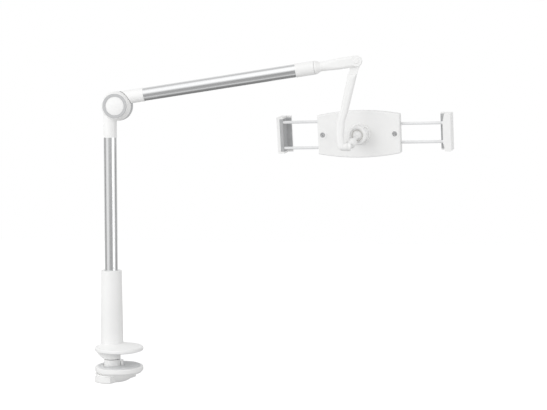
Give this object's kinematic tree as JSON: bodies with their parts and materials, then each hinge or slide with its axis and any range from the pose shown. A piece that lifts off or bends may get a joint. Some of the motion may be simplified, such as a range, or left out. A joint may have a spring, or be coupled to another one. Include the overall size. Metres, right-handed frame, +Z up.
{
  "type": "clamp-on device holder arm",
  "caption": "White desk-clamp arm with a friction elbow, a folding wrist and a ball-jointed spring holder whose claws grip a tablet.",
  "frame": {"origin": "middle of the clamp's jaws, in the plane of the upper pad that presses on the desk top", "axes": "+Z up out of the desk, +X along the arm at rest, +Y from the viewer's side towards the device"},
  "size_m": [0.5507, 0.1354, 0.5021],
  "materials": {
    "white_satin": "satin white",
    "tube_metal": "brushed along the tube",
    "grey_trim": "matt grey",
    "soft_pad": "matt",
    "nylon": "natural",
    "steel": "zinc plated",
    "wire": "light grey coat",
    "brass": "turned"
  },
  "bodies": {
    "clamp": {"upper_jaw": "white_satin", "upper_pad": "soft_pad", "screw_nut": "brass", "column_sleeve": "white_satin", "pole_bush": "white_satin", "foot_bush": "nylon", "column_grub_screw": "steel"},
    "moving_jaw": {"lower_jaw": "white_satin", "lower_pad": "soft_pad", "guide_rod": "steel", "thrust_washer": "steel"},
    "knob": {"clamp_screw": "steel", "screw_clip": "steel", "clamp_knob": "white_satin", "knob_bolt": "steel"},
    "lower_arm": {"lower_tube": "tube_metal", "pole_plug": "nylon", "pole_clip": "steel", "elbow_lower_knuckle": "white_satin", "elbow_trim_ring": "grey_trim", "elbow_front_cap": "white_satin", "elbow_bolt": "steel", "elbow_washer": "nylon", "elbow_springs": "steel", "elbow_nut": "steel"},
    "upper_arm": {"elbow_upper_knuckle": "white_satin", "elbow_rear_cap": "white_satin", "upper_tube": "tube_metal", "tube_coupler": "white_satin"},
    "wrist": {"wrist_link": "white_satin", "spindle_clip": "steel", "wrist_pin": "steel"},
    "hanging_link": {"drop_link": "white_satin", "stud_pin": "steel"},
    "stud": {"ball_stud": "white_satin"},
    "liner": {"ball_liner": "nylon"},
    "collet": {"ball_collet": "nylon"},
    "holder": {"socket_base": "white_satin", "holder_back": "white_satin", "holder_front": "white_satin", "cover_screws": "steel", "holder_pads": "soft_pad"},
    "nut": {"lock_nut": "white_satin"},
    "left_frame": {"left_rods": "wire", "left_springs": "steel", "left_claw": "white_satin", "left_claw_pad": "soft_pad"},
    "right_frame": {"right_rods": "wire", "right_springs": "steel", "right_claw": "white_satin", "right_claw_pad": "soft_pad"}
  },
  "joints": [
    {"name": "jaw_slide", "type": "slide", "parent": "clamp", "child": "moving_jaw", "axis": [0, 0, -1], "range_m": [0, 0.042]},
    {"name": "knob_turn", "type": "hinge", "parent": "moving_jaw", "child": "knob", "pos_m": [-0.006, 0, 0], "axis": [0, 0, -1], "range_deg": [0, 3780]},
    {"name": "pole_swivel", "type": "hinge", "parent": "clamp", "child": "lower_arm", "pos_m": [-0.011, 0, 0.2], "axis": [0, 0, 1], "continuous": true},
    {"name": "elbow_fold", "type": "hinge", "parent": "lower_arm", "child": "upper_arm", "pos_m": [0, 0, 0.379], "axis": [0, -1, 0], "range_deg": [-60, 78]},
    {"name": "wrist_roll", "type": "hinge", "parent": "upper_arm", "child": "wrist", "pos_m": [-0.00166, 0, 0.38987], "axis": [0.9885, 0, 0.1513], "continuous": true},
    {"name": "wrist_fold", "type": "hinge", "parent": "wrist", "child": "hanging_link", "pos_m": [0.36606, 0, 0.44614], "axis": [0, -1, 0], "range_deg": [-20, 105]},
    {"name": "stud_swing", "type": "hinge", "parent": "hanging_link", "child": "stud", "pos_m": [0.34406, 0, 0.31794], "axis": [1, 0, 0], "range_deg": [-90, 5]},
    {"name": "ball_tilt", "type": "hinge", "parent": "stud", "child": "liner", "pos_m": [0.36706, 0.03, 0.33494], "axis": [0.9825, -0.1847, 0.0243], "range_deg": [-6, 36]},
    {"name": "ball_pan", "type": "hinge", "parent": "liner", "child": "collet", "pos_m": [0.36706, 0.03, 0.33494], "axis": [-0.0427, -0.0966, 0.9944], "range_deg": [-26, 8]},
    {"name": "holder_turn", "type": "hinge", "parent": "collet", "child": "holder", "pos_m": [0.36706, 0.03, 0.33494], "axis": [0.1813, 0.978, 0.1028], "continuous": true},
    {"name": "lock_nut_turn", "type": "hinge", "parent": "holder", "child": "nut", "pos_m": [0.36706, 0.03, 0.33494], "axis": [0.1813, 0.978, 0.1028], "range_deg": [0, 360]},
    {"name": "left_claw_slide", "type": "slide", "parent": "holder", "child": "left_frame", "axis": [-0.9825, 0.1847, -0.0243], "range_m": [-0.045, 0.01]},
    {"name": "right_claw_slide", "type": "slide", "parent": "holder", "child": "right_frame", "axis": [0.9825, -0.1847, 0.0243], "range_m": [-0.06, 0.01]}
  ],
  "couplings": [
    {"joint": "knob_turn", "follows": "jaw_slide", "rad_per_m": 1570.8}
  ]
}
